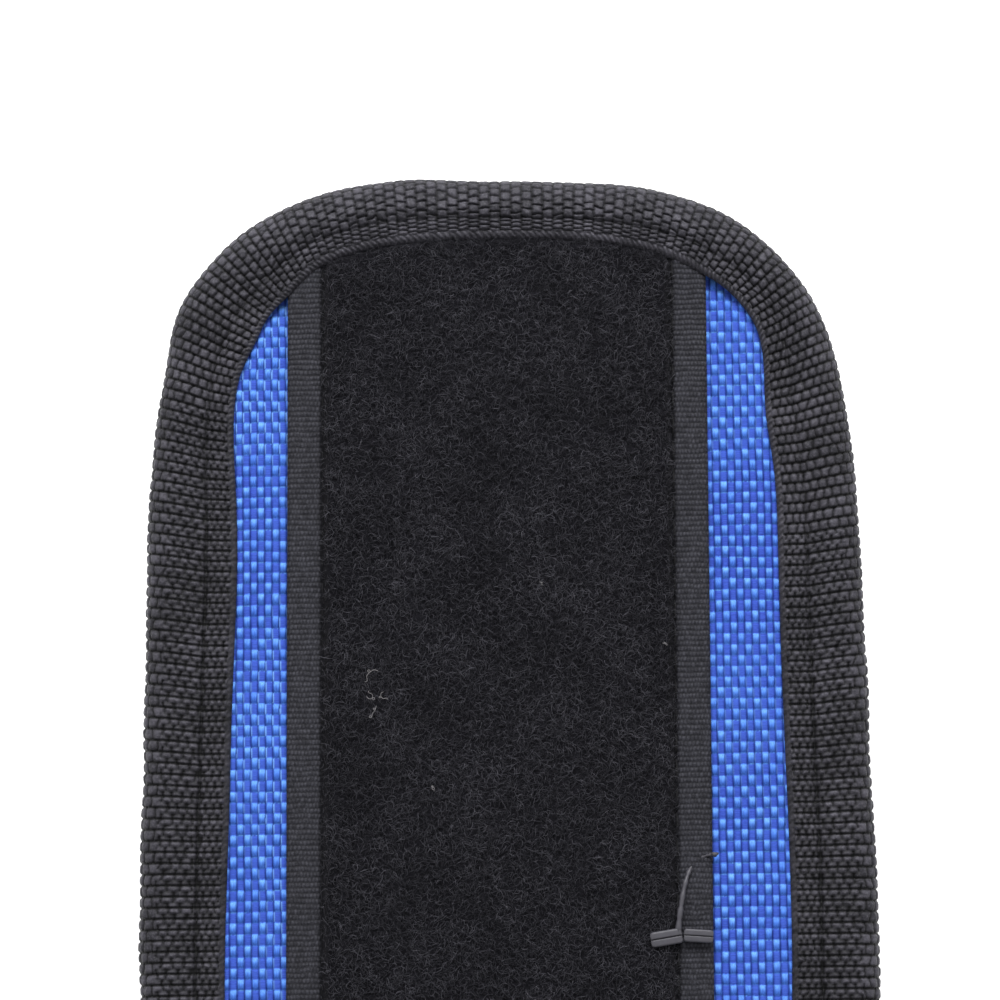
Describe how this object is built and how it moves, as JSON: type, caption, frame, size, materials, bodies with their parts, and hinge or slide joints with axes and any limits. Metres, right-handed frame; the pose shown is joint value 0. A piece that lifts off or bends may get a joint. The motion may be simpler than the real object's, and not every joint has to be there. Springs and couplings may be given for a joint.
{
  "type": "magnetic wristband",
  "caption": "Padded magnetic wristband that curls round the wrist and closes with hook and loop tape, holding small metal parts on its outer face.",
  "frame": {"origin": "under the middle of the flat strap, on the plane that it rests on", "axes": "+Z out of the outer, blue face; +Y along the strap towards the end with the loop tape; +X across it"},
  "size_m": [0.086, 0.35, 0.0072],
  "materials": {
    "outer_panel": "coarse plain weave, slight sheen",
    "padded_lining": "spacer mesh on foam, matte",
    "binding": "ribbed woven webbing",
    "loop_tape": "brushed loop pile with woven selvages",
    "hook_tape": "dense hooks on a woven backing",
    "magnet": "plated, semi-bright",
    "tag_pin": "moulded, slightly glossy"
  },
  "bodies": {
    "section_01": {"outer_panel_01": "outer_panel", "padded_lining_01": "padded_lining", "binding_tip_01": "binding", "loop_tape_01": "loop_tape"},
    "section_02": {"outer_panel_02": "outer_panel", "padded_lining_02": "padded_lining", "binding_left_02": "binding", "binding_right_02": "binding", "loop_tape_02": "loop_tape"},
    "section_03": {"outer_panel_03": "outer_panel", "padded_lining_03": "padded_lining", "binding_left_03": "binding", "binding_right_03": "binding", "loop_tape_03": "loop_tape"},
    "section_04": {"outer_panel_04": "outer_panel", "padded_lining_04": "padded_lining", "binding_left_04": "binding", "binding_right_04": "binding", "loop_tape_04": "loop_tape", "tag_pin": "tag_pin"},
    "section_05": {"outer_panel_05": "outer_panel", "padded_lining_05": "padded_lining", "binding_left_05": "binding", "binding_right_05": "binding", "magnet_05_left": "magnet", "magnet_05_right": "magnet"},
    "section_06": {"outer_panel_06": "outer_panel", "padded_lining_06": "padded_lining", "binding_left_06": "binding", "binding_right_06": "binding", "magnet_06_left": "magnet", "magnet_06_right": "magnet"},
    "section_07": {"outer_panel_07": "outer_panel", "padded_lining_07": "padded_lining", "binding_left_07": "binding", "binding_right_07": "binding", "magnet_07_left": "magnet", "magnet_07_right": "magnet"},
    "section_08": {"outer_panel_08": "outer_panel", "padded_lining_08": "padded_lining", "binding_left_08": "binding", "binding_right_08": "binding", "magnet_08_left": "magnet", "magnet_08_right": "magnet"},
    "section_09": {"outer_panel_09": "outer_panel", "padded_lining_09": "padded_lining", "binding_left_09": "binding", "binding_right_09": "binding", "hook_tape_09": "hook_tape", "magnet_09_left": "magnet", "magnet_09_right": "magnet"},
    "section_10": {"outer_panel_10": "outer_panel", "padded_lining_10": "padded_lining", "binding_left_10": "binding", "binding_right_10": "binding", "hook_tape_10": "hook_tape"},
    "section_11": {"outer_panel_11": "outer_panel", "padded_lining_11": "padded_lining", "binding_tip_11": "binding", "hook_tape_11": "hook_tape"}
  },
  "joints": [
    {"name": "wrap", "type": "hinge", "parent": "section_02", "child": "section_03", "pos_m": [0, 0.12614, 0.0033], "axis": [1, 0, 0], "range_deg": [0, 51.43]},
    {"name": "curl_01", "type": "hinge", "parent": "section_02", "child": "section_01", "pos_m": [0, 0.1544, 0.0033], "axis": [-1, 0, 0], "range_deg": [0, 51.43]},
    {"name": "curl_04", "type": "hinge", "parent": "section_03", "child": "section_04", "pos_m": [0, 0.09686, 0.0033], "axis": [1, 0, 0], "range_deg": [0, 51.43]},
    {"name": "curl_05", "type": "hinge", "parent": "section_04", "child": "section_05", "pos_m": [0, 0.06656, 0.0033], "axis": [1, 0, 0], "range_deg": [0, 51.43]},
    {"name": "curl_06", "type": "hinge", "parent": "section_05", "child": "section_06", "pos_m": [0, 0.03525, 0.0033], "axis": [1, 0, 0], "range_deg": [0, 51.43]},
    {"name": "curl_07", "type": "hinge", "parent": "section_06", "child": "section_07", "pos_m": [0, 0.00292, 0.0033], "axis": [1, 0, 0], "range_deg": [0, 51.43]},
    {"name": "curl_08", "type": "hinge", "parent": "section_07", "child": "section_08", "pos_m": [0, -0.03044, 0.0033], "axis": [1, 0, 0], "range_deg": [0, 51.43]},
    {"name": "curl_09", "type": "hinge", "parent": "section_08", "child": "section_09", "pos_m": [0, -0.06481, 0.0033], "axis": [1, 0, 0], "range_deg": [0, 51.43]},
    {"name": "curl_10", "type": "hinge", "parent": "section_09", "child": "section_10", "pos_m": [0, -0.10019, 0.0033], "axis": [1, 0, 0], "range_deg": [0, 51.43]},
    {"name": "curl_11", "type": "hinge", "parent": "section_10", "child": "section_11", "pos_m": [0, -0.1366, 0.0033], "axis": [1, 0, 0], "range_deg": [0, 51.43]}
  ],
  "couplings": [
    {"joint": "curl_01", "follows": "wrap", "ratio": 1},
    {"joint": "curl_04", "follows": "wrap", "ratio": 1},
    {"joint": "curl_05", "follows": "wrap", "ratio": 1},
    {"joint": "curl_06", "follows": "wrap", "ratio": 1},
    {"joint": "curl_07", "follows": "wrap", "ratio": 1},
    {"joint": "curl_08", "follows": "wrap", "ratio": 1},
    {"joint": "curl_09", "follows": "wrap", "ratio": 1},
    {"joint": "curl_10", "follows": "wrap", "ratio": 1},
    {"joint": "curl_11", "follows": "wrap", "ratio": 1}
  ]
}
